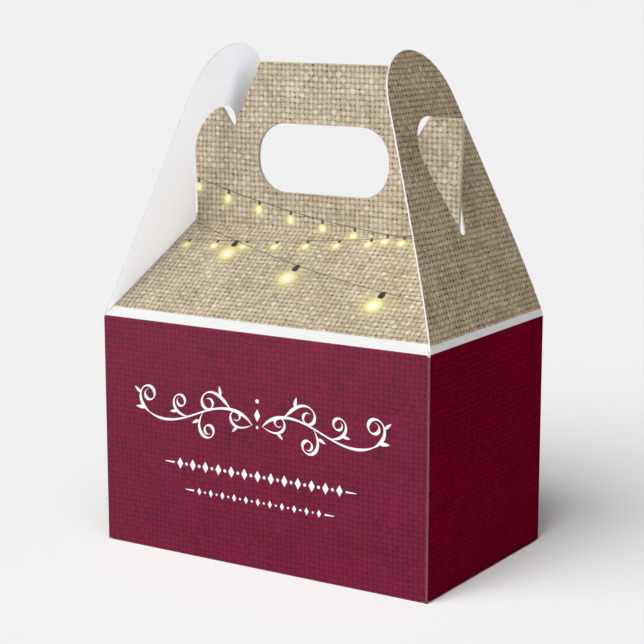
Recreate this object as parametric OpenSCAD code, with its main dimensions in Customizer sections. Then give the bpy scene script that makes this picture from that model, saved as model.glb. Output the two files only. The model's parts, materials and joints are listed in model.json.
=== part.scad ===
// Gable favour box, folded from one creased and die-cut blank of card.
// Millimetres. +Z is up, the front faces -Y, and the origin is the middle of the base.

/* [Box] */
// Outside width of the box, along X
box_w = 101.6; // [96:0.1:110]
// Outside depth of the box, along Y
box_d = 63.5; // [60:0.1:68]
// Height of the walls, from the table to the top creases
box_h = 63.5; // [50:0.5:80]
// Thickness of the card
board = 0.4; // [0.3:0.05:0.5]

/* [Roof and handle] */
// Height of the handle creases above the top creases of the walls
roof_rise = 22.5; // [20:0.1:25]
// Height of a handle panel above its crease
handle_h = 45.3; // [44:0.1:50]
// Width of the handle's top edge
handle_top_w = 39.8; // [34:0.1:42]
// Width of the hand hole
hole_w = 41.4; // [34:0.1:43]
// Height of the hand hole
hole_h = 18.8; // [17.5:0.1:19.5]
// Corner radius of the hand hole
hole_r = 8.6; // [6:0.1:8.7]
// Height of the hand hole's centre above the handle crease
hole_mid = 19.6; // [18:0.1:21]

/* [Ears] */
// Width of a handle panel at its crease
handle_foot_w = 82.8; // [82:0.1:83]
// Width of a handle panel across the tips of its ears
ear_span = 85; // [84:0.1:86]
// Height of an ear's top edge above the handle crease
ear_top = 32.5; // [31:0.1:32.6]
// Distance between the inner corners of the two ears
ear_inner_span = 65.4; // [64.4:0.1:66.4]
// Distance between the tips of the two notches
notch_span = 57.8; // [56:0.1:59]
// Height of the notch tips above the handle crease
notch_tip = 27; // [26:0.1:28]

/* [End flaps] */
// Lean of an end flap from upright, in degrees
flap_lean = 19.3; // [19:0.1:19.6]
// Length of an end flap from its crease to its rounded tip
flap_len = 76.3; // [74:0.1:78]
// Width of an end flap at its crease
flap_foot_w = 62.6; // [58:0.1:63]
// Radius of an end flap's rounded tip
flap_tip_r = 17.4; // [16:0.1:20]
// Radius of the round top of the ear slot
slot_r = 9.2; // [8.5:0.1:9.5]
// Distance of the slot's highest point from the flap's crease
slot_top = 58.4; // [58.3:0.1:59]
// Radius of the slot's narrow lower end
slot_tail_r = 1; // [1:0.1:1.6]
// Distance of the slot's lowest point from the flap's crease
slot_low = 26.4; // [24.5:0.1:26.5]

/* [Base] */
// Width of the tongue that locks the base
tongue_w = 36; // [30:1:38]
// Width of the notch that takes the tongue
lock_notch_w = 42; // [40:1:44]

/* [Hidden] */
$fn = 96;

crease_gap = 0.06;      // card left free at each side of a folding crease
handle_gap = 0.3;       // air between the two handle panels
end_clearance = 0.35;   // air between a roof's sloping ends and the end flaps
layer_gap = 0.05;       // air between the layers of the base
glue_t = 0.08;          // thickness of the glue line

fold_y = handle_gap / 2;                  // distance of a handle's inner face from the middle
fold_run = box_d / 2 - fold_y;            // level distance from a wall's face to its handle crease
roof_slope = atan2(roof_rise, fold_run) + asin(board / norm([roof_rise, fold_run]));
roof_len = fold_run * cos(roof_slope) + roof_rise * sin(roof_slope);
roof_turn = 90 - roof_slope;              // fold between wall and roof, and between roof and handle

glue_w = 12;            // width of the glue flap
glue_inset = 3;         // how far the glue flap stops short of the wall's ends

layer = board + layer_gap;  // height of one layer of the base
corner_cut = 1;         // card cut away beside a base flap's crease, to clear the next wall
corner_slope = 6;       // how far a base flap's sides slope in towards its free edge
edge_slope = 2;         // slope of the tongue's and the notch's sides
lock_edge = -9;         // free edge of the front flap's body, where its tongue starts to rise
tongue_rise = 5;        // level distance over which the tongue rises through the notch
tongue_tip = 15;        // free edge of the tongue
notch_root = 7;         // root of the notch in the back flap
leg_edge = -11;         // free edge of the back flap's two legs
side_reach = 31.5;      // how far a side flap reaches in from its wall
side_hook = -8;         // front end of a side flap's straight free edge
side_hook_run = 12;     // level run of the slope that follows it
base_half_w = box_w / 2 - board - corner_cut;  // half width of the front and back flaps

berry = [0.47, 0.06, 0.18];
burlap = [0.72, 0.64, 0.5];
card_white = [0.95, 0.95, 0.94];

// How much a mitred crease shortens the face on the inside of a fold of this angle.
function mitre(turn) = board * tan(turn / 2);

// A flat panel with its crease along X, its outline in +Y and its printed face up at Z = 0.
// The children are its outline; from and to are its ends along Y on the printed face, and
// from_in and to_in are its ends on the unprinted face.
module card_panel(width, from, from_in, to, to_in) {
    intersection() {
        translate([0, 0, -board]) linear_extrude(board) children();
        rotate([90, 0, 90]) linear_extrude(width, center = true)
            polygon([[from, 0], [to, 0], [to_in, -board], [from_in, -board]]);
    }
}

module at_front_wall() { translate([0, -box_d / 2, 0]) rotate([90, 0, 0]) children(); }
module at_right_wall() { translate([box_w / 2, 0, 0]) rotate([90, 0, 90]) children(); }

// One wall, upright in its panel frame: mitred at both sides and along its top crease.
module wall(width, turn) {
    top = box_h - crease_gap;
    half = width / 2;
    intersection() {
        card_panel(width, 0, 0, top, top - mitre(turn))
            translate([-half, 0]) square([width, top]);
        rotate([-90, 0, 0]) linear_extrude(box_h)
            polygon([[-half, 0], [half, 0], [half - board, board], [board - half, board]]);
    }
}

module front_wall() { color(berry) at_front_wall() wall(box_w, roof_turn); }
module back_wall() { mirror([0, 1, 0]) front_wall(); }
module right_wall() { color(berry) at_right_wall() wall(box_d, flap_lean); }
module left_wall() { mirror([1, 0, 0]) right_wall(); }

// The glue flap lies inside the back wall, at its left-hand corner seen from the front.
module glue_flap() {
    low = glue_inset;
    high = box_h - glue_inset;
    color(card_white)
        translate([board - box_w / 2, box_d / 2 - board - glue_t, 0]) rotate([90, 0, 0]) linear_extrude(board)
            polygon([[0, low], [glue_w, low + glue_inset], [glue_w, high - glue_inset], [0, high]]);
}

module seam_glue() {
    color("ivory")
        translate([2 * board - box_w / 2, box_d / 2 - board, 2 * glue_inset]) rotate([90, 0, 0])
            linear_extrude(glue_t) square([glue_w - 4 * board, box_h - 4 * glue_inset]);
}

// Roof outline: its ends slope with the end flaps, so that the flaps lie over them.
module roof_outline() {
    foot = box_w / 2 - board / cos(flap_lean) - end_clearance;
    head = foot - roof_rise * tan(flap_lean);
    polygon([[-foot, 0], [foot, 0], [head, roof_len], [-head, roof_len]]);
}

module front_roof() {
    color(burlap) translate([0, -box_d / 2, box_h]) rotate([roof_slope, 0, 0])
        card_panel(box_w, crease_gap, crease_gap + mitre(roof_turn),
                   roof_len - crease_gap - mitre(roof_turn), roof_len - crease_gap)
            roof_outline();
}
module back_roof() { mirror([0, 1, 0]) front_roof(); }

module rounded_rectangle(w, h, r) {
    square([w - 2 * r, h], center = true);
    square([w, h - 2 * r], center = true);
    for (x = [-1, 1], y = [-1, 1])
        translate([x * (w / 2 - r), y * (h / 2 - r)]) circle(r);
}

// Handle outline: foot, two ears, two notches and the narrow top.
module handle_outline() {
    right_side = [[handle_foot_w / 2, 0], [ear_span / 2, ear_top], [ear_inner_span / 2, ear_top],
                  [notch_span / 2, notch_tip], [handle_top_w / 2, handle_h]];
    left_side = [for (i = [len(right_side) - 1:-1:0]) [-right_side[i].x, right_side[i].y]];
    difference() {
        polygon(concat(right_side, left_side));
        translate([0, hole_mid]) rounded_rectangle(hole_w, hole_h, hole_r);
    }
}

module front_handle() {
    color(burlap) translate([0, -fold_y - board, box_h + roof_rise]) rotate([90, 0, 0])
        card_panel(box_w, crease_gap + mitre(roof_turn), crease_gap, handle_h, handle_h)
            handle_outline();
}
module back_handle() { mirror([0, 1, 0]) front_handle(); }

// Two circles of radius r0 and r1, at y0 and y1 on the Y axis, joined by their outer tangents.
module joined_circles(y0, r0, y1, r1) {
    tilt = asin((r1 - r0) / (y1 - y0));
    across = cos(tilt);
    down = -sin(tilt);
    translate([0, y0]) circle(r0);
    translate([0, y1]) circle(r1);
    polygon([[r0 * across, y0 + r0 * down], [r1 * across, y1 + r1 * down],
             [-r1 * across, y1 + r1 * down], [-r0 * across, y0 + r0 * down]]);
}

// End flap outline: straight sides that run from the crease into a round tip.
module flap_outline() {
    tip_mid = flap_len - flap_tip_r;
    foot = flap_foot_w / 2;
    reach = norm([foot, tip_mid]);
    side = atan2(foot, tip_mid) - asin(flap_tip_r / reach);
    touch = [flap_tip_r * cos(side), tip_mid + flap_tip_r * sin(side)];
    translate([0, tip_mid]) circle(flap_tip_r);
    polygon([[-foot, 0], [foot, 0], touch, [0, tip_mid], [-touch.x, touch.y]]);
}

module right_end_flap() {
    color(burlap) translate([box_w / 2, 0, box_h]) rotate([0, -flap_lean, 0]) rotate([90, 0, 90])
        card_panel(box_d, crease_gap, crease_gap + mitre(flap_lean), flap_len, flap_len)
            difference() {
                flap_outline();
                joined_circles(slot_low + slot_tail_r, slot_tail_r, slot_top - slot_r, slot_r);
            }
}
module left_end_flap() { mirror([1, 0, 0]) right_end_flap(); }

// The base closes as a snap lock: the notched back flap folds first, the two side flaps next
// and the front flap last, with its tongue pushed up through the notch. Each layer lies one
// card thickness below the one folded before it.
module base_front_flap() {
    start = board - box_d / 2;
    high = 3 * layer;
    tongue = tongue_w / 2;
    color(card_white) intersection() {
        linear_extrude(box_h)
            polygon([[-base_half_w, start], [base_half_w, start], [base_half_w - corner_slope, lock_edge],
                     [tongue, lock_edge], [tongue - edge_slope, tongue_tip],
                     [edge_slope - tongue, tongue_tip], [-tongue, lock_edge],
                     [corner_slope - base_half_w, lock_edge]]);
        rotate([90, 0, 90]) linear_extrude(box_w, center = true)
            polygon([[start, 0], [lock_edge, 0], [lock_edge + tongue_rise, high], [tongue_tip, high],
                     [tongue_tip, high + board], [lock_edge + tongue_rise, high + board],
                     [lock_edge, board], [start, board]]);
    }
}

module base_right_flap() {
    start = box_w / 2 - board;
    end = start - side_reach;
    half = box_d / 2 - board - corner_cut;
    color(card_white) translate([0, 0, layer]) linear_extrude(board)
        polygon([[start, -half], [start, half], [end, half - corner_slope], [end, side_hook],
                 [end + side_hook_run, corner_slope - half]]);
}
module base_left_flap() { mirror([1, 0, 0]) base_right_flap(); }

module base_back_flap() {
    start = box_d / 2 - 2 * board - glue_t;
    notch = lock_notch_w / 2;
    color(card_white) translate([0, 0, 2 * layer]) linear_extrude(board)
        polygon([[-base_half_w, start], [base_half_w, start], [base_half_w - corner_slope, leg_edge],
                 [notch + edge_slope, leg_edge], [notch, notch_root], [-notch, notch_root],
                 [-notch - edge_slope, leg_edge], [corner_slope - base_half_w, leg_edge]]);
}

front_wall();
back_wall();
left_wall();
right_wall();
glue_flap();
seam_glue();
base_front_flap();
base_back_flap();
base_left_flap();
base_right_flap();
front_roof();
back_roof();
front_handle();
back_handle();
left_end_flap();
right_end_flap();
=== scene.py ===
"""Looks of a gable favour box: printed card panels, their folds and inks, light and camera.

Flat sizes are in millimetres, as on the drawing of the card blank, and meshes are written in metres.
On the blank, u runs along a panel's top or foot crease and v up the panel, with v = 0 at the top
creases of the walls: the walls lie below it, and the roofs, handles and end flaps above it.
"""

import json
import math

import bmesh
import bpy
import numpy as np
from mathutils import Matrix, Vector, geometry

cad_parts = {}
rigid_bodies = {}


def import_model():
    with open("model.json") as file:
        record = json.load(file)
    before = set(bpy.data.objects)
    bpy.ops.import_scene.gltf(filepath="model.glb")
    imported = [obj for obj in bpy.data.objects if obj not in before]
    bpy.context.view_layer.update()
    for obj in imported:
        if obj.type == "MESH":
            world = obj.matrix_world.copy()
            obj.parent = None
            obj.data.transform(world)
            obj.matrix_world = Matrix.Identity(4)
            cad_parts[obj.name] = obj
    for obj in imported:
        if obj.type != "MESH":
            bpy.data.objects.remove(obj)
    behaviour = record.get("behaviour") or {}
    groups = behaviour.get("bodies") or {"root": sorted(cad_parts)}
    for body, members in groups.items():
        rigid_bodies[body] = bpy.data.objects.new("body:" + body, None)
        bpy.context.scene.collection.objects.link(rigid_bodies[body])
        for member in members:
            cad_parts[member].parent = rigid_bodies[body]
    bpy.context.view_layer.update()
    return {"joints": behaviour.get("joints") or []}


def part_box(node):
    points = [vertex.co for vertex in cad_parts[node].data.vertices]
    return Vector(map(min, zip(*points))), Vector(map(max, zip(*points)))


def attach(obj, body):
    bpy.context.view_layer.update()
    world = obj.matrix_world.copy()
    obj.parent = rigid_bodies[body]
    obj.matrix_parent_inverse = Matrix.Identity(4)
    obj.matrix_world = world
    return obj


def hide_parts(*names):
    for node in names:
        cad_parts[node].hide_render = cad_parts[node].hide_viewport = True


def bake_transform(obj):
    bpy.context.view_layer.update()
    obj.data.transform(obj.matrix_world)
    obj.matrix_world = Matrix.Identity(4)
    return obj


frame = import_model()

# ------------ sizes, in millimetres

MM = 0.001


def node_size(node):
    """Size of a CAD node along X, Y and Z."""
    low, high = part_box(node)
    return (high - low) / MM


def joint_place(name):
    """A joint's point on the model."""
    joint = next(j for j in frame["joints"] if j["name"] == name)
    return Vector(joint["pos_m"]) / MM


BOX_W = node_size("front_wall").x
BOX_D = node_size("right_wall").y
BOX_H = joint_place("front_roof_crease").z
BOARD = node_size("front_wall").y
HANDLE_CREASE = joint_place("front_handle_crease")

ROOF_RISE = HANDLE_CREASE.z - BOX_H
FOLD_RUN = BOX_D / 2 + HANDLE_CREASE.y
ROOF_SLOPE = math.atan2(ROOF_RISE, FOLD_RUN) + math.asin(BOARD / math.hypot(ROOF_RISE, FOLD_RUN))
ROOF_TURN = math.pi / 2 - ROOF_SLOPE
ROOF_END = (FOLD_RUN - BOARD) / math.cos(ROOF_SLOPE)        # v of the handle crease on the printed side
INNER_CREASE = ROOF_END - BOARD * math.tan(ROOF_TURN / 2)   # v of the same crease on the plain side
FLAP_LEAN = math.radians(19.3)

HANDLE_H = 45.3
HANDLE_TOP = 39.8
HANDLE_FOOT = 82.8
EAR_SPAN = 85
EAR_TOP = 32.5
EAR_INNER = 65.4
NOTCH_SPAN = 57.8
NOTCH_TIP = 27
HOLE_W = 41.4
HOLE_H = 18.8
HOLE_R = 8.6
HOLE_MID = 19.6

FLAP_LEN = 76.3
FLAP_FOOT = 62.6
FLAP_TIP_R = 17.4
SLOT_R = 9.2
SLOT_TOP = 58.4
SLOT_TAIL_R = 1.0
SLOT_LOW = 26.4
END_CLEARANCE = 0.15   # air between a roof's sloping ends and the end flaps

FOLD_R = 0.55         # outside radius of a fold
VALLEY_R = 0.15       # printed side's radius where a fold goes the other way
EDGE_ROUND = 0.07     # rounding of a cut edge
BASE_LAYER = 0.45     # height of one layer of the base
GLUE_FLAP_W = 12
GLUE_INSET = 3        # how far the glue flap stops short of the wall's ends
GLUE_LINE = 0.08      # thickness of the glue
ROOF_BAND = 3.5       # unprinted band at a roof's foot
FLAP_BAND = 2.0       # unprinted band at an end flap's foot
LEFT_FLAP_SPRING = 2.0   # how far the left flap's tip springs out from flat
NO_BAND = -1.0
WALL_SWELL = 0.35     # how far the long walls swell outwards in the middle
END_SWELL = 0.25      # the same for the short walls
FLAP_CURL = 0.8       # how far an end flap bows outwards, at FLAP_CURL_AT of its length
FLAP_CURL_AT = 0.3
EAR_ROUND = 0.9       # roundings of the handle: ear tips, inner corners, notches and top
EAR_INNER_ROUND = 0.35
NOTCH_ROUND = 0.2
TOP_ROUND = 0.7

# ------------ flat outlines


def arc(centre, radius, start, end, step=0.6):
    """Points of an arc, with its angles in degrees."""
    start, end = math.radians(start), math.radians(end)
    count = max(3, math.ceil(abs(end - start) * radius / step))
    return [(centre[0] + radius * math.cos(start + (end - start) * i / count),
             centre[1] + radius * math.sin(start + (end - start) * i / count))
            for i in range(count + 1)]


def rounded(corners):
    """Outline through corners (u, v, radius), each corner turned into an arc of its radius."""
    points = []
    for i, (x, y, radius) in enumerate(corners):
        here = Vector((x, y))
        back = Vector(corners[i - 1][:2]) - here
        ahead = Vector(corners[(i + 1) % len(corners)][:2]) - here
        if radius <= 0:
            points.append((x, y))
            continue
        half = back.angle(ahead) / 2
        reach = radius / math.tan(half)
        centre = here + (back.normalized() + ahead.normalized()).normalized() * (radius / math.sin(half))
        first = here + back.normalized() * reach - centre
        last = here + ahead.normalized() * reach - centre
        begin = math.atan2(first.y, first.x)
        sweep = math.atan2(last.y, last.x) - begin
        sweep = (sweep + math.pi) % (2 * math.pi) - math.pi
        points += arc(centre, radius, math.degrees(begin), math.degrees(begin + sweep), radius / 4)
    return points


def mirrored(right_side):
    """A closed outline from its right-hand half, given from the bottom up."""
    return list(right_side) + [(-p[0], *p[1:]) for p in reversed(right_side)]


def from_left(right_side):
    """The same outline, but starting from its lower left corner."""
    outline = mirrored(right_side)
    return outline[-1:] + outline[:-1]


def refined(points, step):
    """The closed outline with no side longer than step."""
    dense = []
    for i, start in enumerate(points):
        start, end = Vector(start[:2]), Vector(points[(i + 1) % len(points)][:2])
        count = max(1, math.ceil((end - start).length / step))
        dense += [tuple(start.lerp(end, k / count)) for k in range(count)]
    return np.array(dense)


def roof_outline():
    foot = BOX_W / 2 - BOARD / math.cos(FLAP_LEAN) - END_CLEARANCE
    slope = (ROOF_RISE * math.tan(FLAP_LEAN)) / (FOLD_RUN / math.cos(ROOF_SLOPE))
    low, high = roof_foot(), roof_head()
    return mirrored([(foot - slope * low, low), (foot - slope * high, high)])


def handle_outline():
    side = [(HANDLE_FOOT / 2, handle_foot(), 0), (EAR_SPAN / 2, INNER_CREASE + EAR_TOP, EAR_ROUND),
            (EAR_INNER / 2, INNER_CREASE + EAR_TOP, EAR_INNER_ROUND),
            (NOTCH_SPAN / 2, INNER_CREASE + NOTCH_TIP, NOTCH_ROUND),
            (HANDLE_TOP / 2, INNER_CREASE + HANDLE_H, TOP_ROUND)]
    return rounded(mirrored(side))


def hand_hole():
    middle = INNER_CREASE + HOLE_MID
    ends = (middle - HOLE_H / 2, middle + HOLE_H / 2)
    return rounded(from_left([(HOLE_W / 2, v, HOLE_R) for v in ends]))


def flap_outline():
    tip = FLAP_LEN - FLAP_TIP_R
    foot = FLAP_FOOT / 2
    side = math.degrees(math.atan2(foot, tip) - math.asin(FLAP_TIP_R / math.hypot(foot, tip)))
    return [(-foot, flap_foot()), (foot, flap_foot())] + arc((0, tip), FLAP_TIP_R, side, 180 - side)


def ear_slot():
    """Round top and narrow tail, joined by their outer tangents."""
    tail, top = SLOT_LOW + SLOT_TAIL_R, SLOT_TOP - SLOT_R
    tilt = math.degrees(math.asin((SLOT_R - SLOT_TAIL_R) / (top - tail)))
    return arc((0, top), SLOT_R, -tilt, 180 + tilt) + arc((0, tail), SLOT_TAIL_R, 180 + tilt, 360 - tilt, 0.2)


def tangent(radius, turn):
    """How far from its crease line a fold's arc begins."""
    return radius * math.tan(turn / 2)


def roof_foot():
    return tangent(FOLD_R, ROOF_TURN)


def roof_head():
    return ROOF_END - tangent(VALLEY_R, ROOF_TURN)


def handle_foot():
    return ROOF_END + tangent(VALLEY_R, ROOF_TURN)


def flap_foot():
    return tangent(FOLD_R, FLAP_LEAN)


# ------------ panels in space

X, Y, Z = Vector((1, 0, 0)), Vector((0, 1, 0)), Vector((0, 0, 1))


class Plane:
    """A panel's printed face: a point with u = 0 and v = v0, and its three directions."""

    def __init__(self, place, along, up, out, v0=0.0, bow=None):
        self.place, self.along, self.up, self.out, self.v0 = place, along, up, out, v0
        self.bow = bow or (lambda u, v: 0.0)

    def at(self, u, v, lift=0.0):
        """The point in space, lift above the printed face, in millimetres."""
        return self.place + self.along * u + self.up * (v - self.v0) + self.out * (lift + self.bow(u, v))


def opposite(plane):
    """The plane on the other side of the box: turned by half a turn about Z."""
    def turned(a):
        return Vector((-a.x, -a.y, a.z))
    directions = (turned(plane.along), turned(plane.up), turned(plane.out))
    return Plane(turned(plane.place), *directions, plane.v0, plane.bow)


def swell(half_u, low, high, rise):
    """A bow that is rise high in the middle and nothing at the edges."""
    def bow(u, v):
        across = max(0.0, 1 - (u / half_u) ** 2)
        along = max(0.0, min(1.0, (v - low) / (high - low)))
        return rise * across * math.sin(math.pi * along)
    return bow


def curl(foot, length, rise, peak):
    """A bow along v only, from nothing at the foot to rise at peak of the length and back."""
    def bow(u, v):
        along = max(0.0, (v - foot) / length)
        return rise * math.sin(math.pi * min(1.0, along ** (math.log(0.5) / math.log(peak))))
    return bow


FRONT_WALL = Plane(Vector((0, -BOX_D / 2, BOX_H)), X, Z, -Y, bow=swell(BOX_W / 2, -BOX_H, 0, WALL_SWELL))
RIGHT_WALL = Plane(Vector((BOX_W / 2, 0, BOX_H)), Y, Z, X, bow=swell(BOX_D / 2, -BOX_H, 0, END_SWELL))
FRONT_ROOF = Plane(Vector((0, -BOX_D / 2, BOX_H)), X,
                   Vector((0, math.cos(ROOF_SLOPE), math.sin(ROOF_SLOPE))),
                   Vector((0, -math.sin(ROOF_SLOPE), math.cos(ROOF_SLOPE))))
FRONT_HANDLE = Plane(Vector((0, HANDLE_CREASE.y - BOARD, BOX_H + ROOF_END * math.sin(ROOF_SLOPE))),
                     X, Z, -Y, v0=ROOF_END)
RIGHT_FLAP = Plane(Vector((BOX_W / 2, 0, BOX_H)), Y,
                   Vector((-math.sin(FLAP_LEAN), 0, math.cos(FLAP_LEAN))),
                   Vector((math.cos(FLAP_LEAN), 0, math.sin(FLAP_LEAN))),
                   bow=curl(0, FLAP_LEN, FLAP_CURL, FLAP_CURL_AT))
BACK_WALL, LEFT_WALL = opposite(FRONT_WALL), opposite(RIGHT_WALL)
BACK_ROOF, BACK_HANDLE, LEFT_FLAP = opposite(FRONT_ROOF), opposite(FRONT_HANDLE), opposite(RIGHT_FLAP)
LEFT_FLAP.bow = lambda u, v: LEFT_FLAP_SPRING * max(0.0, v / FLAP_LEN) ** 1.5

# ------------ mesh building

PRINT, INSIDE, EDGE, WHITE, DARK, SOCKET = range(6)   # material slots of a printed panel
SHARP_ANGLE = 35      # creases of a mesh sharper than this, in degrees, stay sharp
OUTLINE_STEP = 1.2    # longest side of a panel's outline
HOLE_STEP = 0.8       # the same for its holes


def unit(rows):
    return rows / np.linalg.norm(rows, axis=1)[:, None]


def inside_loop(points, loop):
    """Which points lie inside a closed loop."""
    x, y = points[:, 0, None], points[:, 1, None]
    x0, y0 = loop[None, :, 0], loop[None, :, 1]
    x1, y1 = np.roll(x0, -1, 1), np.roll(y0, -1, 1)
    spans = (y0 > y) != (y1 > y)
    rise = np.where(y1 == y0, 1e-12, y1 - y0)
    return (spans & (x < (x1 - x0) * (y - y0) / rise + x0)).sum(1) % 2 == 1


def distance_to_loop(points, loop):
    start, end = loop[None], np.roll(loop, -1, 0)[None]
    side = end - start
    share = ((points[:, None] - start) * side).sum(-1) / (side ** 2).sum(-1)
    nearest = start + np.clip(share, 0, 1)[..., None] * side
    return np.linalg.norm(points[:, None] - nearest, axis=-1).min(1)


def within(points, outer, holes, margin):
    """Which points lie on the card, at least margin from its edges."""
    keep = inside_loop(points, outer) & (distance_to_loop(points, outer) > margin)
    for hole in holes:
        keep &= ~inside_loop(points, hole) & (distance_to_loop(points, hole) > margin)
    return keep


def grid_points(low, high, step):
    """Rows of points, every other row shifted by half a step."""
    across = np.arange(low[0] + step / 2, high[0], step)
    rows = np.arange(low[1] + step / 2, high[1], step * 0.87)
    return np.array([(x + (step / 2 if i % 2 else 0), y) for i, y in enumerate(rows) for x in across])


def border_loops(triangles):
    """Loops of the edges that only one triangle uses, with the card on their left."""
    edges = {(t[i], t[(i + 1) % 3]) for t in triangles.tolist() for i in range(3)}
    follow = {a: b for a, b in edges if (b, a) not in edges}
    loops = []
    while follow:
        start, here = follow.popitem()
        loop = [start]
        while here != start:
            loop.append(here)
            here = follow.pop(here)
        loops.append(loop)
    return loops


def fill(outer, holes, step, art=(), extra=()):
    """Triangulates the outer loop less the holes, with points inside. art are closed outlines of ink
    as (outline, kind), which become triangles of their own. Returns points, triangles and kinds."""
    loops = [outer, *holes, *(outline for outline, _ in art)]
    grid = grid_points(outer.min(0), outer.max(0), step)
    grid = grid[within(grid, outer, holes, step * 0.55)]
    extra = np.array(extra).reshape(-1, 2)
    extra = extra[within(extra, outer, holes, 0.12)] if len(extra) else extra
    crowd = np.vstack([extra, *(outline for outline, _ in art)])
    if len(crowd) and len(grid):
        nearest = np.array([((crowd - point) ** 2).sum(1).min() for point in grid])
        grid = grid[nearest > (step * 0.45) ** 2]
    edges, first = [], 0
    for loop in loops:
        edges += [(first + i, first + (i + 1) % len(loop)) for i in range(len(loop))]
        first += len(loop)
    points = np.vstack(loops + [extra, grid])
    made, _, faces, _, _, _ = geometry.delaunay_2d_cdt([Vector(p) for p in points], edges, [], 0, 1e-6)
    made = np.array([tuple(p) for p in made])
    faces = np.array([f for f in faces if len(f) == 3])
    a, b, c = (made[faces[:, i]] for i in range(3))
    turn = (b - a)[:, 0] * (c - a)[:, 1] - (b - a)[:, 1] * (c - a)[:, 0]
    faces[turn < 0] = faces[turn < 0][:, ::-1]
    middles = made[faces].mean(1)
    faces = faces[(np.abs(turn) > 1e-9) & within(middles, outer, holes, 0)]
    middles = made[faces].mean(1)
    kinds = np.full(len(faces), PRINT)
    for outline, kind in art:
        kinds[inside_loop(middles, outline)] = kind
    return made, faces, kinds


def make_mesh(name, points, faces, kinds, materials, card=None, marks=None):
    """A mesh object with its faces turned outwards. card gives each point's u, v and band on the
    blank, and marks its lamplight, amber glass, and the wear of the folds, which also paints a highlight
    along them."""
    mesh = bpy.data.meshes.new(name)
    mesh.from_pydata([tuple(Vector(p) * MM) for p in points], [], [tuple(int(i) for i in f) for f in faces])
    for material in materials:
        mesh.materials.append(material)
    mesh.polygons.foreach_set("material_index", np.array(kinds, np.int32))
    for key, values in (("card", card), ("marks", marks)):
        values = np.zeros((len(points), 3)) if values is None else values
        stored = mesh.attributes.new(key, "FLOAT_VECTOR", "POINT")
        stored.data.foreach_set("vector", np.array(values, np.float32).ravel())
    work = bmesh.new()
    work.from_mesh(mesh)
    bmesh.ops.delete(work, geom=[v for v in work.verts if not v.link_faces], context="VERTS")
    bmesh.ops.recalc_face_normals(work, faces=work.faces)
    work.to_mesh(mesh)
    work.free()
    mesh.polygons.foreach_set("use_smooth", [True] * len(mesh.polygons))
    mesh.set_sharp_from_angle(angle=math.radians(SHARP_ANGLE))
    piece = bpy.data.objects.new(name, mesh)
    bpy.context.scene.collection.objects.link(piece)
    return piece


def card_panel(name, node, body, slot, plane, outline, holes=(), creases=(), band=NO_BAND, step=3.0,
               materials=None, art=(), extra=(), lit=False, folded_round=False):
    """A panel of card: printed face, plain inside and rounded cut edges, in place of a CAD node.
    Its border is cut card, except at the creases, given as heights v, or where it is folded_round."""
    outer = refined(outline, OUTLINE_STEP)
    holes = [refined(hole, HOLE_STEP) for hole in holes]
    flat, triangles, ink = fill(outer, holes, step, art, extra)
    count = len(flat)
    bevel = np.zeros((count, 2))
    borders = border_loops(triangles)
    for border in borders:
        loop = flat[border]
        side = unit(unit(np.roll(loop, -1, 0) - loop) + unit(loop - np.roll(loop, 1, 0)))
        cut = np.full(len(loop), not folded_round)
        for crease in creases:
            cut &= np.abs(loop[:, 1] - crease) > 1e-4
        bevel[border] = np.stack([-side[:, 1], side[:, 0]], 1) * (cut * EDGE_ROUND)[:, None]
    points = [plane.at(*spot) for spot in flat + bevel]
    points += [plane.at(*spot, -BOARD) for spot in flat + bevel / 2]
    source = list(range(count)) * 2
    faces = [tuple(t) for t in triangles] + [tuple(t[::-1] + count) for t in triangles]
    kinds = list(ink) + [INSIDE] * len(triangles)
    for border in borders:
        size, upper = len(border), len(points)
        for depth in (EDGE_ROUND, BOARD - EDGE_ROUND / 2):
            points += [plane.at(*flat[i], -depth) for i in border]
            source += border
        ladder = [border, [upper + i for i in range(size)], [upper + size + i for i in range(size)],
                  [i + count for i in border]]
        for top, low in zip(ladder, ladder[1:]):
            faces += [(top[i - 1], low[i - 1], low[i], top[i]) for i in range(size)]
            kinds += [EDGE] * size
    flat = flat[source]
    card = np.column_stack([flat, np.full(len(flat), band)])
    piece = make_mesh(name, points, faces, kinds, materials or CARD, card, lamp_light(flat) if lit else None)
    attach(piece, body)
    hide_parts(node)
    return piece


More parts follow.
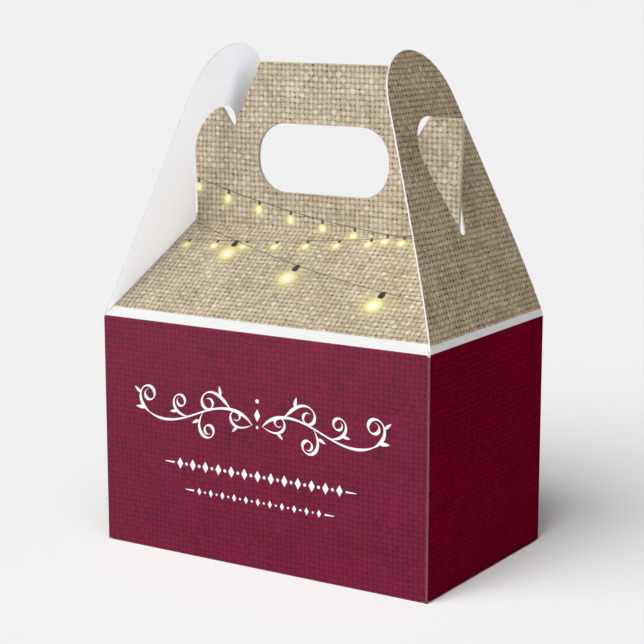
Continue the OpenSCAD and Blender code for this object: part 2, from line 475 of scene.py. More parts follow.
def fold(name, start, along, ahead, out, turn, radius, spans, card, convex=True, wear_and_highlight=0.0,
         parts=8, step=6.0, printed_to=1.0):
    """A bent strip of card. It begins at start, where the card runs towards ahead with its printed
    side towards out, and bends by turn, away from the printed side where convex. spans are its low
    and high ends along the crease, at its beginning and at its end. card gives the place on the blank
    for a distance along the crease and a share of the bend, and the print ends at printed_to."""
    sign = 1 if convex else -1
    centre = start - out * (radius * sign)
    (low_a, high_a), (low_b, high_b) = spans
    count = max(2, math.ceil((high_a - low_a) / step))
    points, values, marks = [], [], []
    for inner in (0, 1):
        for j in range(parts + 1):
            share = j / parts
            normal = out * math.cos(turn * share) + ahead * (sign * math.sin(turn * share))
            low, high = low_a + (low_b - low_a) * share, high_a + (high_b - high_a) * share
            for i in range(count + 1):
                u = low + (high - low) * i / count
                points.append(centre + normal * (radius * sign - BOARD * inner) + along * u)
                values.append(card(u, share))
                # the fold's wear, most in the middle of the bend, which also paints a highlight along it
                marks.append((0, 0, wear_and_highlight * math.sin(math.pi * share) ** 2))
    row = count + 1
    sheet = (parts + 1) * row
    faces, kinds = [], []
    for j in range(parts):
        for i in range(count):
            a, b, c, d = j * row + i, j * row + i + 1, (j + 1) * row + i + 1, (j + 1) * row + i
            faces += [(a, b, c, d), (d + sheet, c + sheet, b + sheet, a + sheet)]
            kinds += [PRINT if (j + 0.5) / parts < printed_to else INSIDE, INSIDE]
        for i in (0, count):
            a, d = j * row + i, (j + 1) * row + i
            faces.append((a, d, d + sheet, a + sheet))
            kinds.append(EDGE)
    for j in (0, parts):
        for i in range(count):
            a, b = j * row + i, j * row + i + 1
            faces.append((a, b, b + sheet, a + sheet))
            kinds.append(EDGE)
    piece = make_mesh(name, points, faces, kinds, CARD, values, marks)
    return piece


# ------------ materials

BUMP = 0.4            # strength of every bump


class Graph:
    """A material's node tree, with short calls for the nodes that these materials use."""

    def __init__(self, name):
        self.material = bpy.data.materials.new(name)
        self.material.use_nodes = True
        self.tree = self.material.node_tree
        self.shader = self.tree.nodes["Principled BSDF"]

    def node(self, kind, values=(), **settings):
        made = self.tree.nodes.new("ShaderNode" + kind)
        for key, value in settings.items():
            setattr(made, key, value)
        for key, value in dict(values).items():
            self.feed(made.inputs[key], value)
        return made

    def feed(self, socket, value):
        if isinstance(value, bpy.types.NodeSocket):
            self.tree.links.new(value, socket)
        else:
            socket.default_value = value

    def math(self, operation, *values):
        made = self.node("Math", operation=operation)
        for socket, value in zip(made.inputs, values):
            self.feed(socket, value)
        return made.outputs[0]

    def add(self, *values):
        total = values[0]
        for value in values[1:]:
            total = self.math("ADD", total, value)
        return total

    def times(self, *values):
        product = values[0]
        for value in values[1:]:
            product = self.math("MULTIPLY", product, value)
        return product

    def attribute(self, name):
        """The three numbers that a mesh stores under a name."""
        stored = self.node("Attribute", attribute_name=name).outputs["Vector"]
        return self.node("SeparateXYZ", {"Vector": stored}).outputs

    def place(self):
        return self.node("TexCoord").outputs["Object"]

    def noise(self, place, scale, detail=2.0, roughness=0.5):
        return self.node("TexNoise", {"Vector": place, "Scale": scale, "Detail": detail,
                                      "Roughness": roughness}).outputs["Fac"]

    def random(self, x, y, seed):
        """A number from 0 to 1 for each pair of whole numbers."""
        return self.node("TexWhiteNoise", {"Vector": self.vector(x, y, seed)}).outputs["Value"]

    def vector(self, x, y, z):
        return self.node("CombineXYZ", {"X": x, "Y": y, "Z": z}).outputs[0]

    def span(self, value, low, high, to_low=0.0, to_high=1.0):
        return self.node("MapRange", {"Value": value, "From Min": low, "From Max": high,
                                      "To Min": to_low, "To Max": to_high}).outputs[0]

    def mix(self, share, a, b):
        made = self.node("Mix", data_type="RGBA")
        self.feed(made.inputs[0], share)
        for socket, value in ((made.inputs[6], a), (made.inputs[7], b)):
            self.feed(socket, (*value, 1.0) if isinstance(value, tuple) else value)
        return made.outputs[2]

    def ramp(self, value, *stops):
        made = self.node("ValToRGB", {"Fac": value})
        line = made.color_ramp.elements
        while len(line) < len(stops):
            line.new(0.5)
        for element, (place, colour) in zip(line, stops):
            element.position = place
            element.color = (*colour, 1.0)
        return made.outputs[0]

    def finish(self, colour, roughness, specular, bump=None, depth=0.0):
        """Feeds the shader and returns the material. depth is the bump's, in millimetres."""
        self.feed(self.shader.inputs["Base Color"], colour)
        self.feed(self.shader.inputs["Roughness"], roughness)
        self.shader.inputs["Specular IOR Level"].default_value = specular
        if bump is not None:
            bumps = self.node("Bump", {"Strength": BUMP, "Distance": depth * MM, "Height": bump})
            self.feed(self.shader.inputs["Normal"], bumps.outputs[0])
        return self.material


def srgb(red, green, blue):
    """Linear colour of an sRGB one, given from 0 to 255."""
    def linear(level):
        level /= 255
        return level / 12.92 if level <= 0.04045 else ((level + 0.055) / 1.055) ** 2.4
    return (linear(red), linear(green), linear(blue))


WEAVE = 1.46          # distance between the threads of the printed cloth
WARP_WIDE = 0.37      # half width of an upright thread, as a share of their distance
WEFT_WIDE = 0.43      # half width of a level thread
WEFT_RISE = 0.30      # how much higher the level threads lie, so that they show for longer
WEFT_PALER = 0.06     # how much paler they are
MEAN_TONE = 0.42      # tone of the cloth before its threads and patches change it
BARE = -8.0           # height that stands for no thread at all


def woven(graph, u, v, seed):
    """Plain weave of uneven threads over the blank. Returns the tone of the cloth, about 0.5, and how
    far a point lies in a hole between threads, from 0 to 1."""
    flat = graph.vector(u, v, seed)
    swapped = graph.vector(v, u, seed + 7.0)

    def drift(where):
        """Slow wander of the threads, and a quick wobble."""
        slow = graph.span(graph.noise(where, 0.11, 1.0), 0, 1, -0.28, 0.28)
        return graph.add(slow, graph.span(graph.noise(where, 0.9, 1.0), 0, 1, -0.14, 0.14))

    across = graph.add(graph.math("DIVIDE", u, WEAVE), drift(flat))
    along = graph.add(graph.math("DIVIDE", v, WEAVE), drift(swapped))
    column, row = graph.math("FLOOR", across), graph.math("FLOOR", along)
    x = graph.math("SUBTRACT", graph.math("FRACT", across), 0.5)
    y = graph.math("SUBTRACT", graph.math("FRACT", along), 0.5)
    warp_over = graph.span(graph.math("PINGPONG", graph.add(column, row), 1.0), 0, 1, -1, 1)

    def thread(cross, other, index, course, over, wide, seed):
        """Height and tone of one set of threads: cross runs over a thread's width and other from one
        crossing to the next, both from -0.5 to 0.5, and course is the distance along it."""
        run = graph.vector(index, graph.times(course, 0.5), seed)
        width = graph.span(graph.noise(run, 1.7, 2.0), 0.3, 0.7, wide - 0.15, wide + 0.13)
        ratio = graph.math("DIVIDE", cross, width)
        round_top = graph.math("SUBTRACT", 1.0, graph.times(ratio, ratio))
        arch = graph.times(graph.math("COSINE", graph.times(other, math.pi)), over)
        here = graph.math("GREATER_THAN", round_top, 0.0)
        height = graph.add(graph.times(round_top, 0.6), arch, graph.span(here, 0, 1, BARE, 0))
        fibres = graph.noise(graph.vector(graph.times(cross, 4.2), graph.times(course, 0.7),
                                          graph.add(index, seed)), 1.5, 4.0, 0.75)
        tone = graph.add(graph.times(round_top, 0.22), graph.span(arch, -1, 1, -0.20, 0.20),
                         graph.span(graph.random(index, 0.0, seed), 0, 1, -0.04, 0.04),
                         graph.span(graph.noise(run, 0.8, 3.0, 0.6), 0.25, 0.75, -0.15, 0.15),
                         graph.span(fibres, 0.3, 0.7, -0.27, 0.27))
        return height, tone

    warp_high, warp_tone = thread(x, y, column, v, warp_over, WARP_WIDE, seed + 3.0)
    weft_high, weft_tone = thread(y, x, row, u, graph.times(warp_over, -1.0), WEFT_WIDE, seed + 5.0)
    weft_high = graph.add(weft_high, WEFT_RISE)
    warp_on_top = graph.math("GREATER_THAN", warp_high, weft_high)
    weft_tone = graph.add(weft_tone, WEFT_PALER)
    tone = graph.node("Mix", {"Factor": warp_on_top, "A": weft_tone, "B": warp_tone}).outputs[0]
    crossing = graph.span(graph.random(column, row, seed), 0, 1, -0.06, 0.06)
    patch = graph.span(graph.noise(flat, 0.09, 4.0, 0.6), 0.3, 0.7, -0.10, 0.10)
    highest = graph.math("MAXIMUM", warp_high, weft_high)
    hole = graph.add(graph.span(highest, -0.5, 0.2, 0.45, 0.0), graph.span(highest, -4.0, -2.0, 0.55, 0.0))
    hole = graph.times(hole, graph.span(graph.noise(flat, 0.30, 3.0, 0.6), 0.35, 0.65, 0.35, 1.15))
    return graph.add(tone, crossing, patch, MEAN_TONE), hole


# inks of the two printed cloths, from their darkest tone to their lightest
BURLAP_INKS = ((0.0, (108, 90, 65)), (0.35, (156, 138, 110)), (0.6, (184, 167, 140)),
               (0.85, (212, 197, 172)), (1.0, (234, 221, 198)))
BERRY_INKS = ((0.0, (57, 3, 28)), (0.4, (98, 3, 43)), (0.65, (115, 4, 49)), (1.0, (138, 8, 63)))


def shaded(ink, shade):
    """Linear colour of an ink, each part of it multiplied by the shade's."""
    return tuple(level * share for level, share in zip(srgb(*ink), shade))


def printed_card(name, gloss, pits, burlap_shade, berry_shade):
    """The blank's printed side: berry cloth on the walls, an unprinted band at the creases, burlap
    above it, and the printed lamps' light on the burlap. gloss is the ink's specular level, pits is
    how strongly the burlap's holes are printed, and the shades multiply the two cloths' inks: a tint,
    and painted shade on the handle and the box's ends."""
    graph = Graph(name)
    u, v, band = graph.attribute("card")
    light, amber, wear_and_highlight = graph.attribute("marks")
    tone, hole = woven(graph, u, v, 2.0)
    burlap = graph.ramp(tone, *((at, shaded(ink, burlap_shade)) for at, ink in BURLAP_INKS))
    burlap = graph.mix(graph.times(hole, pits), burlap, srgb(54, 40, 26))
    berry = graph.ramp(tone, *((at, shaded(ink, berry_shade)) for at, ink in BERRY_INKS))
    berry = graph.mix(graph.times(hole, 0.7), berry, srgb(38, 4, 18))
    grain = graph.noise(graph.vector(u, v, 0.0), 2.2, 4.0, 0.7)
    lit = graph.mix(graph.times(amber, 0.8), burlap, srgb(240, 200, 112))
    shine = graph.ramp(light, (0.0, srgb(228, 221, 166)), (0.35, srgb(243, 230, 155)),
                       (0.65, srgb(253, 241, 176)), (0.90, srgb(255, 253, 238)))
    lit = graph.mix(graph.span(light, 0.02, 0.5), lit, shine)
    cloth = graph.mix(graph.math("GREATER_THAN", v, 0.0), berry, lit)
    in_band = graph.times(graph.math("GREATER_THAN", v, 0.0), graph.math("LESS_THAN", v, band))
    white = graph.ramp(grain, (0.3, srgb(243, 243, 243)), (0.7, srgb(248, 248, 248)))
    inked = graph.mix(in_band, cloth, white)
    # pale pink along the folds: partly worn print, partly a painted highlight on each fold's rounding
    inked = graph.mix(graph.times(wear_and_highlight, graph.span(grain, 0.3, 0.6, 0.4, 1.0)), inked, srgb(226, 186, 196))
    return graph.finish(inked, graph.span(grain, 0.3, 0.7, 0.42, 0.52), gloss, grain, 0.012)


def board(name, low, high, scale, roughness, depth):
    """Plain board with a faint, fibrous grain between two colours."""
    graph = Graph(name)
    grain = graph.noise(graph.place(), scale, 5.0, 0.65)
    cloud = graph.noise(graph.place(), 35.0, 2.0)
    fibres = graph.ramp(grain, (0.3, low), (0.7, high))
    colour = graph.mix(graph.span(cloud, 0.35, 0.65, 0.0, 0.5), fibres, low)
    return graph.finish(colour, roughness, 0.3, grain, depth)


def printed_ink(name, dark, light):
    """Printed ink, a little uneven over the grain of the board under it."""
    graph = Graph(name)
    grain = graph.noise(graph.place(), 1800.0, 4.0, 0.7)
    return graph.finish(graph.ramp(grain, (0.3, dark), (0.7, light)), 0.5, 0.5, grain, 0.01)


def dried_glue():
    graph = Graph("dried_glue")
    ripple = graph.noise(graph.place(), 260.0, 3.0)
    colour = graph.ramp(ripple, (0.3, srgb(228, 220, 196)), (0.7, srgb(240, 234, 214)))
    return graph.finish(colour, graph.span(ripple, 0.3, 0.7, 0.2, 0.4), 0.5, ripple, 0.05)


PLAIN_BOARD = board("plain_board", srgb(240, 240, 242), srgb(246, 246, 247), 900.0, 0.6, 0.02)
CUT_EDGE = board("cut_edge", srgb(238, 238, 236), srgb(250, 250, 249), 2400.0, 0.75, 0.05)
INK_GLOSS = 0.15      # specular level of the print
INK_PITS = 0.85       # strength of the burlap's holes, here and on the box's ends
END_PITS = 1.6
CARD = [printed_card("printed_card", INK_GLOSS, INK_PITS, (1, 1, 1), (0.90, 1, 0.92)), PLAIN_BOARD, CUT_EDGE,
        printed_ink("white_ink", srgb(246, 246, 246), srgb(252, 252, 252)),
        printed_ink("wire_ink", srgb(58, 51, 43), srgb(82, 74, 63)),
        printed_ink("socket_ink", srgb(42, 38, 34), srgb(72, 66, 59))]
# the box's two ends are printed matt, and their inks are deeper in tone: darkened and warmed as painted shade
SHADED_END_CARD = [printed_card("shaded_end_print", 0.0, END_PITS, (0.94, 0.89, 0.84), (0.84, 0.6, 0.48)), *CARD[1:]]
BASE_CARD = [PLAIN_BOARD, PLAIN_BOARD, CUT_EDGE]
INKED_EDGE = board("inked_edge", srgb(190, 173, 146), srgb(216, 200, 173), 2400.0, 0.75, 0.05)
# the handle's print is darkened a little as painted shade, and its narrow edges took ink from it
SHADED_HANDLE_PRINT = printed_card("shaded_handle_print", INK_GLOSS, INK_PITS, (0.90, 0.89, 0.91), (1, 1, 1))
HANDLE_CARD = [SHADED_HANDLE_PRINT, PLAIN_BOARD, INKED_EDGE, *CARD[EDGE + 1:]]

# ------------ printed drawings


def stroke(line, widths):
    """Outline of a pen stroke along a line of points, with its width at each point."""
    line = np.array(line, float)
    ahead = unit(np.gradient(line, axis=0))
    side = np.stack([-ahead[:, 1], ahead[:, 0]], 1) * (np.array(widths) / 2)[:, None]
    return np.vstack([line - side, (line + side)[::-1]])


def placed(outline, centre, tilt=0.0):
    """An outline turned by tilt, in radians, and moved to centre."""
    c, s = math.cos(tilt), math.sin(tilt)
    return np.array([(centre[0] + x * c - y * s, centre[1] + x * s + y * c) for x, y in outline])


def hung_wire(start, end, sag, count=50):
    """A wire between two points of the blank that sags in the middle."""
    return [(start[0] + (end[0] - start[0]) * t, start[1] + (end[1] - start[1]) * t - 4 * sag * t * (1 - t))
            for t in np.linspace(0, 1, count)]


# start, end, sag, length of a lamp, places of the lamps along the wire
STRINGS = (((-43.4, 51.5), (45.5, 38.4), 3.2, 3.5, np.linspace(0.03, 0.95, 9)),
           ((-46.0, 31.0), (44.0, 43.0), 1.9, 3.3, np.linspace(0.07, 0.90, 9)),
           ((-44.0, 39.2), (47.0, 16.4), 3.0, 7.2, (0.215, 0.475, 0.80)))
# outline of a lamp's socket, for a lamp of length 1 that hangs from (0, 0)
LAMP_SOCKET = [(-0.05, 0.06), (-0.11, -0.04), (-0.14, -0.16), (-0.11, -0.29), (0.10, -0.30), (0.13, -0.17),
               (0.10, -0.05), (0.05, 0.06)]
WIRE_WIDTH = 0.2
BULB_AT, GLASS_AT = -0.68, -0.38   # how far below its hook a lamp is brightest and its glass is amber
string_art, lamps = [], []
for start, end, sag, size, places in STRINGS:
    wire = hung_wire(start, end, sag)
    string_art.append((stroke(wire, [WIRE_WIDTH] * len(wire)), DARK))
    for number, place in enumerate(places):
        index = place * (len(wire) - 1)
        near, far = np.array(wire[int(index)]), np.array(wire[min(int(index) + 1, len(wire) - 1)])
        hook = near + (far - near) * (index % 1)
        tilt = -0.12 + 0.1 * math.sin(5.0 * number)
        string_art.append((placed([(x * size, y * size) for x, y in LAMP_SOCKET], hook, tilt), SOCKET))
        lamps.append((placed([(0, BULB_AT * size), (0, GLASS_AT * size)], hook, tilt), size))


def lamp_light(flat):
    """For places on the blank, how strongly the lamps' white light and amber glass show, and no wear or
    painted fold highlight.
    """
    light, amber = np.zeros(len(flat)), np.zeros(len(flat))
    for (bright, glass), size in lamps:
        reach = np.linalg.norm(flat - bright, axis=1) / size
        light += 0.70 * np.exp(-(reach / 0.27) ** 2.5) + 0.30 * np.exp(-(reach / 0.62) ** 2)
        amber += np.exp(-(np.linalg.norm((flat - glass) / (0.17 * size), axis=1)) ** 4)
    return np.column_stack([np.minimum(light, 1), np.minimum(amber, 1), np.zeros(len(flat))])


# points around each lamp, which carry its light
LAMP_RINGS = np.vstack([placed([(ring * size * math.cos(a), ring * size * math.sin(a))
                                for ring in (0.1, 0.19, 0.25, 0.31, 0.37, 0.43, 0.5, 0.6, 0.8, 1.0)
                                for a in np.linspace(0, 2 * math.pi, 16, endpoint=False)], bright)
                        for (bright, _), size in lamps])


def tendril(start, heading, length, bend_start, bend_end, count=48):
    """A line whose bend changes evenly along it, in degrees a millimetre, and its heading at each point."""
    s = np.linspace(0, length, count)
    angle = np.radians(heading + bend_start * s + (bend_end - bend_start) * s * s / (2 * length))
    step = length / (count - 1)
    middle = (angle[1:] + angle[:-1]) / 2
    x = start[0] + np.concatenate([[0], np.cumsum(np.cos(middle) * step)])
    y = start[1] + np.concatenate([[0], np.cumsum(np.sin(middle) * step)])
    return np.stack([x, y], 1), np.degrees(angle)


def pen(line, thin, thick, nib=50):
    """Widths of a broad pen's stroke: thick where it runs across the nib, tapering at both ends."""
    line = np.array(line, float)
    ahead = np.gradient(line, axis=0)
    angle = np.arctan2(ahead[:, 1], ahead[:, 0]) - math.radians(nib)
    ends = np.minimum(1, np.minimum(np.linspace(0, 6, len(line)), np.linspace(6, 0, len(line))) + 0.15)
    return (thin + (thick - thin) * np.cos(angle) ** 2) * ends


def leaf(length, wide):
    return [(0, 0), (length * 0.35, wide), (length * 0.7, wide * 0.7), (length, 0),
            (length * 0.7, -wide * 0.55), (length * 0.35, -wide * 0.7)]


def diamond(wide, high):
    return [(0, -high / 2), (wide / 2, 0), (0, high / 2), (-wide / 2, 0)]


def dot(radius):
    turns = np.linspace(0, 2 * math.pi, 12, endpoint=False)
    return [(radius * math.cos(a), radius * math.sin(a)) for a in turns]


def ornament():
    """A scroll over two rows of small diamonds, printed in white on a wall."""
    scroll_height = -22.2
    vine, ahead = tendril((1.6, -2.2), 52, 36, -7.6, 6.4)
    half = [stroke(vine, pen(vine, 0.35, 1.25))]

    def branch(share, turn, length, bend_start, bend_end, thick, leaves=()):
        """A tendril that leaves the vine at a share of its length, with leaves on it."""
        spot = int(share * (len(vine) - 1))
        line, angles = tendril(vine[spot], ahead[spot] + turn, length, bend_start, bend_end)
        half.append(stroke(line, pen(line, 0.28, thick)))
        for place, lean, size in leaves:
            at = int(place * (len(line) - 1))
            half.append(placed(leaf(size, 0.2 * size), line[at], math.radians(angles[at] + lean)))

    branch(0.99, 0, 21, 5, 44, 1.0, ((0.12, -38, 3.2), (0.34, -60, 2.6)))
    branch(0.22, 34, 21, 4, -46, 0.95, ((0.22, 48, 3.0),))
    branch(0.47, -34, 19, -3, -52, 0.95, ((0.16, 50, 2.8),))
    branch(0.02, -74, 16, -2, 56, 0.8, ((0.3, -50, 2.4),))
    branch(0.62, 20, 18, 5, 52, 0.85, ((0.22, -45, 2.6),))
    shapes = half + [outline * (-1, 1) for outline in half]
    shapes += [placed(diamond(1.9, 3.4), (0, 0.6)), placed(dot(0.55), (0, 4.4)), placed(dot(0.4), (0, -2.6))]
    shapes = [outline + (0, scroll_height) for outline in shapes]
    for half_u, v, pitch, high in ((27.3, -38.0, 4.2, 3.1), (19.0, -45.0, 3.8, 2.1)):
        count = int(half_u / pitch)
        for i in range(-count, count + 1):
            shapes.append(placed(diamond(high * 0.62, high), (i * pitch, v)))
            if i < count:
                shapes.append(placed(dot(0.13 * high + 0.05), ((i + 0.5) * pitch, v)))
        for side in (-1, 1):
            dash = [((count + s) * pitch * side, v) for s in (0.45, 0.8, 1.2)]
            shapes.append(stroke(dash, (0.5, 0.4, 0.15)))
    return [(outline, WHITE) for outline in shapes]


# ------------ panels

WALL_FOOT = FOLD_R - BOX_H
FRONT_TOP, SIDE_TOP = -roof_foot(), -flap_foot()   # v of the walls' upper ends, under the folds
LONG_HALF, SHORT_HALF = BOX_W / 2 - FOLD_R, BOX_D / 2 - FOLD_R
GLUE_FACE = BOX_D / 2 - BOARD - GLUE_LINE          # y of the glue flap's printed face

def wall(name, plane, left, right, top, art=(), materials=CARD):
    """A wall, from left to right between its folds and up to top. One wall's free edge, at the glued
    seam, stops just short of the corner instead."""
    card_panel(name + "_wall_panel", name + "_wall", "box", "berry_print", plane,
               [(left, WALL_FOOT), (right, WALL_FOOT), (right, top), (left, top)], creases=(), art=art,
               folded_round=True, materials=materials)


wall("front", FRONT_WALL, -LONG_HALF, LONG_HALF, FRONT_TOP, ornament())
wall("back", BACK_WALL, -LONG_HALF, BOX_W / 2 - 0.1, FRONT_TOP)
# the short walls take the print that carries painted shade
wall("right", RIGHT_WALL, -SHORT_HALF, SHORT_HALF, SIDE_TOP, materials=SHADED_END_CARD)
wall("left", LEFT_WALL, FOLD_R - GLUE_FACE, SHORT_HALF, SIDE_TOP, materials=SHADED_END_CARD)

STRINGS_OF_LAMPS = {"art": string_art, "extra": LAMP_RINGS, "lit": True}
for side, roof, handle in (("front", FRONT_ROOF, FRONT_HANDLE), ("back", BACK_ROOF, BACK_HANDLE)):
    card_panel(side + "_roof_card", side + "_roof", side + "_roof_panel", "burlap_print", roof,
               roof_outline(), creases=(roof_foot(), roof_head()), band=ROOF_BAND, **STRINGS_OF_LAMPS)
    card_panel(side + "_handle_card", side + "_handle", side + "_handle_panel", "burlap_print", handle,
               handle_outline(), holes=[hand_hole()], creases=(handle_foot(),), materials=HANDLE_CARD,
               **STRINGS_OF_LAMPS)

for side, flap in (("right", RIGHT_FLAP), ("left", LEFT_FLAP)):
    card_panel(side + "_end_flap_card", side + "_end_flap", side + "_flap", "burlap_print", flap,
               flap_outline(), holes=[ear_slot()], creases=(flap_foot(),), materials=SHADED_END_CARD,
               band=FLAP_BAND, step=2.0)

# ------------ base and glue flap

LOCK_EDGE, TONGUE_TIP, NOTCH_ROOT, LEG_EDGE = -9, 15, 7, -11   # heights y of the lock's edges
TONGUE_W, LOCK_NOTCH_W = 36, 42
TONGUE_RISE = 5               # level run over which the tongue rises through the notch
CORNER_CUT = 1                # card cut away beside a base flap's crease
CORNER_SLOPE, EDGE_SLOPE = 6, 2   # how far the flaps', and the lock's, sides slope in
SIDE_REACH = 31.5 + BOARD     # reach of the side flaps, and the shape of their free edge
SIDE_HOOK, SIDE_HOOK_RUN = 8, 12


def step_up(rises):
    """A bow of a base flap, which lies face down: it climbs (start, run, height) by (start, run, height)."""
    def bow(u, v):
        level = 0.0
        for start, run, height in rises:
            t = min(1.0, max(0.0, (v - start) / run))
            level -= height * t * t * (3 - 2 * t)
        return level
    return bow


def base_flap(side, place, along, up, outline, layer, lift=()):
    """A flap of the snap-lock base, its crease at the bottom of a wall and its body on its own layer."""
    rises = ([(FOLD_R + 0.05, 0.8, layer * BASE_LAYER)] if layer else []) + list(lift)
    plane = Plane(place, along, up, -Z, bow=step_up(rises))
    low, high = min(v for _, v in outline), max(v for _, v in outline)
    rows = [start + run * share for start, run, _ in rises for share in (0, 0.25, 0.5, 0.75, 1)]
    half = max(u for u, _ in outline)
    extra = [(u, v) for v in rows if low + 0.1 < v < high for u in np.arange(-half, half, 1.5)]
    card_panel(f"base_{side}_flap_card", f"base_{side}_flap", "box", "white_card", plane,
               [(u, FOLD_R if v <= FOLD_R else v) for u, v in outline], creases=(FOLD_R,),
               materials=BASE_CARD, extra=extra)
    # its crease carries a little wear and a painted highlight
    strip = fold(f"base_{side}_fold", place + Z * FOLD_R, along, -Z, -up, math.pi / 2, FOLD_R,
                 ((-half, half), (-half, half)), lambda u, share: (u, -BOX_H, NO_BAND),
                 wear_and_highlight=0.2, printed_to=0.6)
    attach(strip, "box")


half = BOX_W / 2 - BOARD - CORNER_CUT
lock, tongue = BOX_D / 2 + LOCK_EDGE, TONGUE_W / 2
base_flap("front", Vector((0, -BOX_D / 2, 0)), -X, Y,
          from_left([(half, 0), (half - CORNER_SLOPE, lock), (tongue, lock),
                     (tongue - EDGE_SLOPE, BOX_D / 2 + TONGUE_TIP)]),
          0, [(lock, TONGUE_RISE, 3 * BASE_LAYER)])
leg, notch = BOX_D / 2 - LEG_EDGE, LOCK_NOTCH_W / 2
base_flap("back", Vector((0, BOX_D / 2, 0)), X, -Y,
          from_left([(half, 0), (half - CORNER_SLOPE, leg), (notch + EDGE_SLOPE, leg),
                     (notch, BOX_D / 2 - NOTCH_ROOT)]), 2)
half = BOX_D / 2 - BOARD - CORNER_CUT
short = half - CORNER_SLOPE
hooked = [(-half, 0), (half, 0), (short, SIDE_REACH - SIDE_HOOK_RUN), (SIDE_HOOK, SIDE_REACH),
          (-short, SIDE_REACH)]
base_flap("right", Vector((BOX_W / 2, 0, 0)), -Y, -X, hooked, 1)
base_flap("left", Vector((-BOX_W / 2, 0, 0)), Y, X, [(-u, v) for u, v in reversed(hooked)], 1)

card_panel("glue_flap_card", "glue_flap", "box", "white_card", Plane(Vector((0, GLUE_FACE, BOX_H)), -X, Z, Y),
           [(BOX_W / 2 - BOARD - GLUE_FLAP_W, 2 * GLUE_INSET - BOX_H), (LONG_HALF, GLUE_INSET - BOX_H),
            (LONG_HALF, -GLUE_INSET), (BOX_W / 2 - BOARD - GLUE_FLAP_W, -2 * GLUE_INSET)],
           creases=(), materials=BASE_CARD)
bpy.data.objects["seam_glue"].material_slots[0].material = dried_glue()

# ------------ folds

FOLD_END = 0.2        # how far the folds between walls and tops stop short of the box's corners
# wear of the print along the folds at the walls' tops, which also paints their highlight
FOLD_WEAR_AND_HIGHLIGHT = 0.15


def top_fold(name, wall_plane, panel, foot, turn, wall_half, panel_half, band, parts):
    """The fold at the top of a wall. Its panel begins at v = foot."""
    start = wall_plane.at(0, -foot)
    strip = fold(name, start, wall_plane.along, wall_plane.up, wall_plane.out, turn, FOLD_R,
                 ((FOLD_END - wall_half, wall_half - FOLD_END), (-panel_half, panel_half)),
                 lambda u, share: (u, foot * (2 * share - 1), band), wear_and_highlight=FOLD_WEAR_AND_HIGHLIGHT, parts=parts)
    panel.at(0, foot) * MM
    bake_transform(strip)


foot_half, head_half = roof_outline()[0][0], roof_outline()[1][0]
for side, wall_plane, roof, handle in (("front", FRONT_WALL, FRONT_ROOF, FRONT_HANDLE),
                                       ("back", BACK_WALL, BACK_ROOF, BACK_HANDLE)):
    top_fold(side + "_roof_fold", wall_plane, roof, roof_foot(), ROOF_TURN,
             BOX_W / 2, foot_half, ROOF_BAND, 8)
    strip = fold(side + "_handle_fold", roof.at(0, roof_head()), roof.along, roof.up, roof.out, ROOF_TURN,
                 VALLEY_R, ((-head_half, head_half), (-HANDLE_FOOT / 2, HANDLE_FOOT / 2)),
                 lambda u, share: (u, roof_head() + (handle_foot() - roof_head()) * share, NO_BAND),
                 convex=False)
    roof.at(0, roof_head()) * MM
    handle.at(0, handle_foot()) * MM
    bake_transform(strip)

for side, wall_plane, flap in (("right", RIGHT_WALL, RIGHT_FLAP), ("left", LEFT_WALL, LEFT_FLAP)):
    top_fold(side + "_flap_fold", wall_plane, flap, flap_foot(), FLAP_LEAN,
             BOX_D / 2, FLAP_FOOT / 2, FLAP_BAND, 6)


CORNER_BARE = 0.5     # unprinted stretch at the top of an upright fold
# wear along an upright fold, which also paints its highlight
CORNER_WEAR_AND_HIGHLIGHT = 0.3
CORNER_FOOT = 0.1     # height of its lower end
WEB_INSET = 0.18      # how far a corner's web lies inside the fold's rounding
WEB_REACH = 0.4       # how far it reaches in past the fold's centre
WEB_TOP = 0.25        # height of its top above the walls' creases


def corner(name, wall_plane, edge, ahead, inset=0.0):
    """The upright fold at a corner of the walls. Its upper end shows a little unprinted board, and
    its far side is shorter by inset at both ends."""
    spans = ((CORNER_FOOT - BOX_H, 0), (CORNER_FOOT + inset - BOX_H, -inset))
    strip = fold(name, wall_plane.place + wall_plane.along * edge, Z, wall_plane.along * ahead,
                 wall_plane.out, math.pi / 2, FOLD_R, spans,
                 lambda v, share: (edge + share, v + CORNER_BARE, FLAP_BAND), wear_and_highlight=CORNER_WEAR_AND_HIGHLIGHT, step=3.0)
    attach(strip, "box")


def corner_web(name, right, back):
    """The crushed bit of board where three creases meet, at the top of a corner. right and back are
    1 or -1 and say which corner."""
    centre = Vector((right * (BOX_W / 2 - FOLD_R), back * (BOX_D / 2 - FOLD_R), 0))
    radius = FOLD_R - WEB_INSET
    outline = arc((0, 0), radius, 0, 90, 0.1)
    outline += [(-WEB_REACH, radius), (-WEB_REACH, -WEB_REACH), (radius, -WEB_REACH)]
    rim = [centre + Vector((right * x, back * y, 0)) for x, y in outline]
    size = len(rim)
    points = [p + Z * (BOX_H + WEB_TOP) for p in rim] + [p + Z * (BOX_H + WEB_TOP - BOARD) for p in rim]
    faces = [tuple(range(size)), tuple(range(2 * size - 1, size - 1, -1))]
    faces += [((i - 1) % size, (i - 1) % size + size, i + size, i) for i in range(size)]
    piece = make_mesh(name, points, faces, [EDGE] * len(faces), CARD)
    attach(piece, "box")


for name, right, back in (("front_right", 1, -1), ("back_right", 1, 1),
                          ("front_left", -1, -1), ("back_left", -1, 1)):
    corner_web(name + "_corner_web", right, back)
corner("front_right_corner", FRONT_WALL, LONG_HALF, 1)
corner("back_right_corner", RIGHT_WALL, SHORT_HALF, 1)
corner("front_left_corner", LEFT_WALL, SHORT_HALF, 1)
corner("back_left_corner", LEFT_WALL, FOLD_R - GLUE_FACE, -1, inset=GLUE_INSET - CORNER_FOOT)

# ------------ floor, light and camera

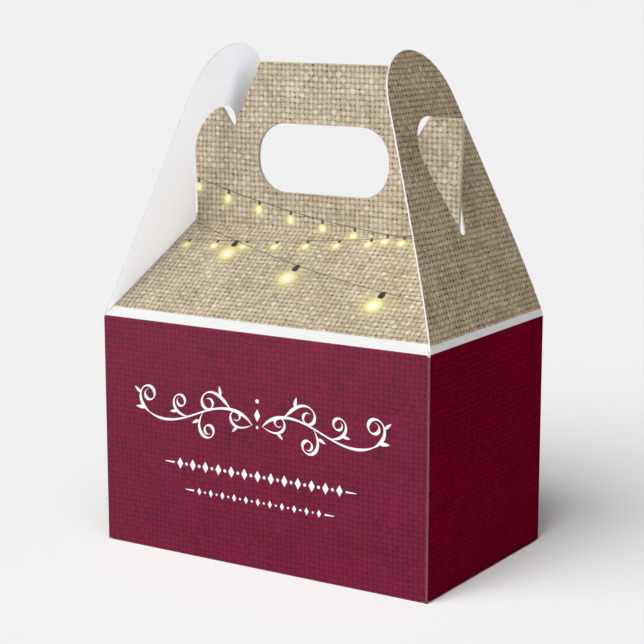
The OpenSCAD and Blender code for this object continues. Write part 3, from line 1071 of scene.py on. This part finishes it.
FLOOR_HALF = 120      # in metres
FLOOR_TONE = 0.80     # and how much lighter its paler clouds are
FLOOR_CLOUD = 0.002


def floor_paint():
    graph = Graph("floor_paint")
    cloud = graph.noise(graph.place(), 3.0, 2.0)
    dark, pale = (FLOOR_TONE,) * 3, (FLOOR_TONE + FLOOR_CLOUD,) * 3
    return graph.finish(graph.ramp(cloud, (0.4, dark), (0.6, pale)), 0.9, 0.0)


floor_mesh = bpy.data.meshes.new("floor")
floor_mesh.from_pydata([(x * FLOOR_HALF, y * FLOOR_HALF, 0) for x, y in ((-1, -1), (1, -1), (1, 1), (-1, 1))],
                       [], [(0, 1, 2, 3)])
floor_mesh.materials.append(floor_paint())
floor = bpy.data.objects.new("floor", floor_mesh)
bpy.context.scene.collection.objects.link(floor)
floor.visible_glossy = False


def lit_by(name, chosen):
    """A collection of the meshes that a light falls on."""
    group = bpy.data.collections.new(name)
    for piece in bpy.context.scene.objects:
        if piece.type == "MESH" and chosen(piece.name):
            group.objects.link(piece)
    return group


def sun(name, azimuth, elevation, strength, angle, group, diffuse=True, glossy=False, colour=(1, 1, 1)):
    """A distant soft light. At azimuth 0 it shines on the front wall; it grows towards the box's left."""
    azimuth, elevation = math.radians(azimuth), math.radians(elevation)
    source = Vector((-math.sin(azimuth) * math.cos(elevation), -math.cos(azimuth) * math.cos(elevation),
                     math.sin(elevation)))
    data = bpy.data.lights.new(name, "SUN")
    data.energy = strength
    data.color = colour
    data.angle = math.radians(angle)
    light = bpy.data.objects.new(name, data)
    light.rotation_euler = source.to_track_quat("Z", "Y").to_euler()
    light.visible_diffuse = diffuse
    light.visible_glossy = glossy
    light.light_linking.receiver_collection = group
    bpy.context.scene.collection.objects.link(light)


on_floor = lit_by("on_floor", lambda piece: piece == "floor")
on_box = lit_by("on_box", lambda piece: piece != "floor")
on_most = lit_by("on_most", lambda piece: piece not in ("floor", "left_end_flap_card"))
on_right_wall = lit_by("on_right_wall", lambda piece: piece == "right_wall_panel")
on_left_flap = lit_by("on_left_flap", lambda piece: piece == "left_end_flap_card")
sun("floor_high", -30, 65, 1.22, 45, on_floor)
sun("floor_key", 2, 45, 2.23, 45, on_floor)
sun("floor_side", 32, 38, 1.20, 45, on_floor)
sun("box_key", 0, 38, 2.07, 45, on_most)
sun("box_side", 66, 46, 0.97, 45, on_box)
sun("box_back", 182, 15, 1.50, 60, on_box)
sun("flap_fill", -60, 10, 2.75, 45, on_left_flap, colour=(0.93, 0.98, 1.07))
sun("wall_fill", -90, 0, 0.30, 45, on_right_wall)
sun("sheen", 32, 12, 5.0, 60, on_box, diffuse=False, glossy=True)

BACKDROP = 0.871      # brightness of the wall behind the box, which the camera alone sees
world = bpy.data.worlds.new("studio")
world.use_nodes = True
backdrop = world.node_tree.nodes["Background"].inputs
backdrop["Color"].default_value = (1, 1, 1, 1)
backdrop["Strength"].default_value = BACKDROP
world.cycles_visibility.diffuse = False
world.cycles_visibility.glossy = False
bpy.context.scene.world = world

CAMERA_AZIMUTH = math.radians(32.47)
CAMERA_ELEVATION = math.radians(10.82)
CAMERA_DISTANCE = 506.3
CAMERA_AIM = (-0.35, 29.23)   # where the camera aims, right of and above the middle of the walls, in its view
back = Vector((math.sin(CAMERA_AZIMUTH) * math.cos(CAMERA_ELEVATION),
               -math.cos(CAMERA_AZIMUTH) * math.cos(CAMERA_ELEVATION), math.sin(CAMERA_ELEVATION)))
turned = back.to_track_quat("Z", "Y")
camera_data = bpy.data.cameras.new("camera")
camera_data.lens = 102.8
camera_data.sensor_width = 36
camera_data.clip_start = 0.01
camera_data.clip_end = 500
camera = bpy.data.objects.new("camera", camera_data)
camera.rotation_euler = turned.to_euler()
camera.location = (Z * (BOX_H / 2) + back * CAMERA_DISTANCE + turned @ Vector((*CAMERA_AIM, 0))) * MM
bpy.context.scene.collection.objects.link(camera)
bpy.context.scene.camera = camera
bpy.context.scene.view_settings.view_transform = "Standard"
